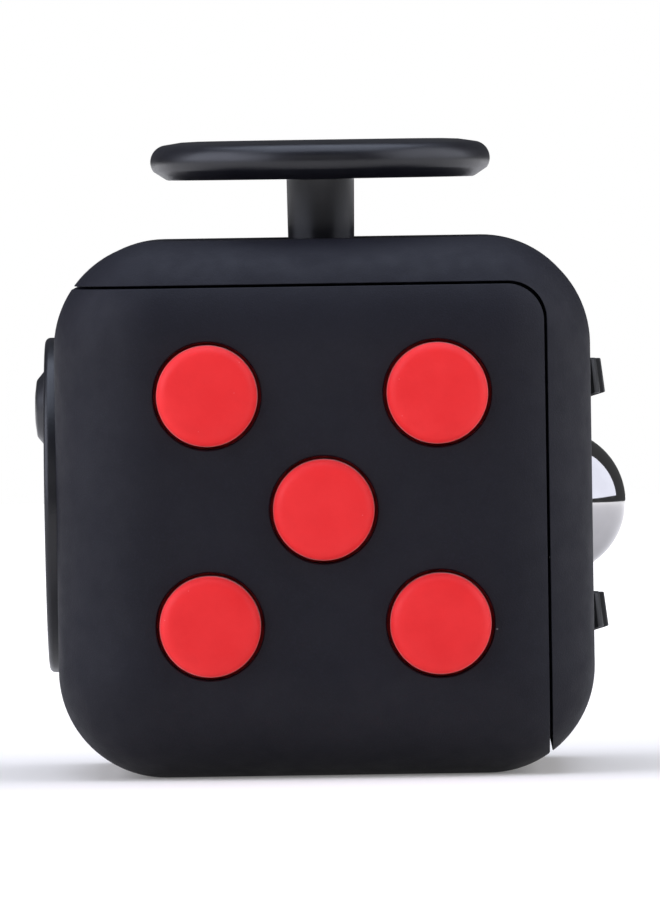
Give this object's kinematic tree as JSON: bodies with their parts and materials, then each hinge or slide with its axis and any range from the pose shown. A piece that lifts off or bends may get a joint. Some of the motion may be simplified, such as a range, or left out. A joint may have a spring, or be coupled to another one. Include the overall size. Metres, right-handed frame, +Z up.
{
  "type": "fidget cube",
  "caption": "Palm-sized cube toy with push buttons, a turning dial, a small joystick, thumb gears, a press-and-roll ball, a rocker switch and a dished pad, one kind to a face.",
  "frame": {"origin": "centre of the underside, on the plane of the flat rim that the cube stands on", "axes": "+Z up through the joystick, +X towards the gear and ball face, -Y towards the face with the push buttons"},
  "size_m": [0.0365, 0.036, 0.0391],
  "materials": {
    "shell": "soft-touch matt black, fine-grained",
    "button_red": "satin red silicone",
    "control_black": "satin black moulded plastic",
    "gear_black": "satin black moulded plastic",
    "ball_steel": "polished",
    "inner_plastic": "as-moulded dark grey plastic",
    "spring_steel": "bright drawn wire and strip",
    "screw_steel": "zinc-plated",
    "silicone": "translucent matt silicone",
    "friction_rubber": "matt black rubber"
  },
  "bodies": {
    "case": {"front_shell": "shell", "rear_shell": "shell", "button_dome_pad": "silicone", "click_domes": "spring_steel", "button_backplate": "inner_plastic", "backplate_screws": "screw_steel", "dial_friction_ring": "friction_rubber", "joystick_spring": "spring_steel", "joystick_housing": "inner_plastic", "housing_screws": "screw_steel", "ball_click_dome": "spring_steel", "gear_axle": "screw_steel", "gear_click_spring": "spring_steel", "roll_bracket": "inner_plastic", "bracket_screws": "screw_steel", "rocker_leaf_spring": "spring_steel", "rocker_cradle": "inner_plastic", "cradle_screws": "screw_steel"},
    "top_left_button": {"button_top_left": "button_red"},
    "top_right_button": {"button_top_right": "button_red"},
    "centre_button": {"button_centre": "button_red"},
    "bottom_left_button": {"button_bottom_left": "button_red"},
    "bottom_right_button": {"button_bottom_right": "button_red"},
    "dial": {"spin_dial": "control_black", "dial_washer": "screw_steel", "dial_screw": "screw_steel"},
    "gimbal": {"gimbal_ring": "inner_plastic"},
    "joystick": {"joystick_cap": "control_black", "joystick_shaft": "control_black"},
    "cup": {"ball_cup": "inner_plastic"},
    "ball": {"steel_ball": "ball_steel"},
    "upper_gear": {"gear_upper": "gear_black"},
    "middle_gear": {"gear_middle": "gear_black"},
    "lower_gear": {"gear_lower": "gear_black"},
    "rocker": {"rocker_switch": "control_black"}
  },
  "joints": [
    {"name": "top_left_press", "type": "slide", "parent": "case", "child": "top_left_button", "axis": [0, 1, 0], "range_m": [0, 0.0009], "stiffness_N_per_m": 1200, "springref_m": -0.0004, "deforming": ["button_dome_pad", "click_domes"]},
    {"name": "top_right_press", "type": "slide", "parent": "case", "child": "top_right_button", "axis": [0, 1, 0], "range_m": [0, 0.0009], "stiffness_N_per_m": 1200, "springref_m": -0.0004, "deforming": ["button_dome_pad"]},
    {"name": "centre_press", "type": "slide", "parent": "case", "child": "centre_button", "axis": [0, 1, 0], "range_m": [0, 0.0009], "stiffness_N_per_m": 1200, "springref_m": -0.0004, "deforming": ["button_dome_pad", "click_domes"]},
    {"name": "bottom_left_press", "type": "slide", "parent": "case", "child": "bottom_left_button", "axis": [0, 1, 0], "range_m": [0, 0.0009], "stiffness_N_per_m": 1200, "springref_m": -0.0004, "deforming": ["button_dome_pad"]},
    {"name": "bottom_right_press", "type": "slide", "parent": "case", "child": "bottom_right_button", "axis": [0, 1, 0], "range_m": [0, 0.0009], "stiffness_N_per_m": 1200, "springref_m": -0.0004, "deforming": ["button_dome_pad", "click_domes"]},
    {"name": "dial_spin", "type": "hinge", "parent": "case", "child": "dial", "pos_m": [-0.0165, 0, 0.01665], "axis": [-1, 0, 0], "continuous": true},
    {"name": "gimbal_tilt", "type": "hinge", "parent": "case", "child": "gimbal", "pos_m": [0, 0, 0.027], "axis": [1, 0, 0], "range_deg": [-10, 10], "stiffness_Nm_per_rad": 0.02, "deforming": ["joystick_spring"]},
    {"name": "joystick_tilt", "type": "hinge", "parent": "gimbal", "child": "joystick", "pos_m": [0, 0, 0.027], "axis": [0, 1, 0], "range_deg": [-10, 10], "stiffness_Nm_per_rad": 0.02, "deforming": ["joystick_spring"]},
    {"name": "ball_press", "type": "slide", "parent": "case", "child": "cup", "axis": [-1, 0, 0], "range_m": [0, 0.0006], "stiffness_N_per_m": 1500, "springref_m": -0.0003, "deforming": ["ball_click_dome"]},
    {"name": "ball_roll", "type": "hinge", "parent": "cup", "child": "ball", "pos_m": [0.0141, -0.0051, 0.0165], "axis": [0, 0, 1], "continuous": true},
    {"name": "upper_gear_spin", "type": "hinge", "parent": "case", "child": "upper_gear", "pos_m": [0.01335, 0.0049, 0.024], "axis": [0, 0, 1], "continuous": true, "deforming": ["gear_click_spring"]},
    {"name": "middle_gear_spin", "type": "hinge", "parent": "case", "child": "middle_gear", "pos_m": [0.01335, 0.0049, 0.0167], "axis": [0, 0, 1], "continuous": true, "deforming": ["gear_click_spring"]},
    {"name": "lower_gear_spin", "type": "hinge", "parent": "case", "child": "lower_gear", "pos_m": [0.01335, 0.0049, 0.0094], "axis": [0, 0, 1], "continuous": true, "deforming": ["gear_click_spring"]},
    {"name": "rocker_flick", "type": "hinge", "parent": "case", "child": "rocker", "pos_m": [0, 0.0134, 0.0165], "axis": [-1, 0, 0], "range_deg": [0, 16], "deforming": ["rocker_leaf_spring"]}
  ]
}
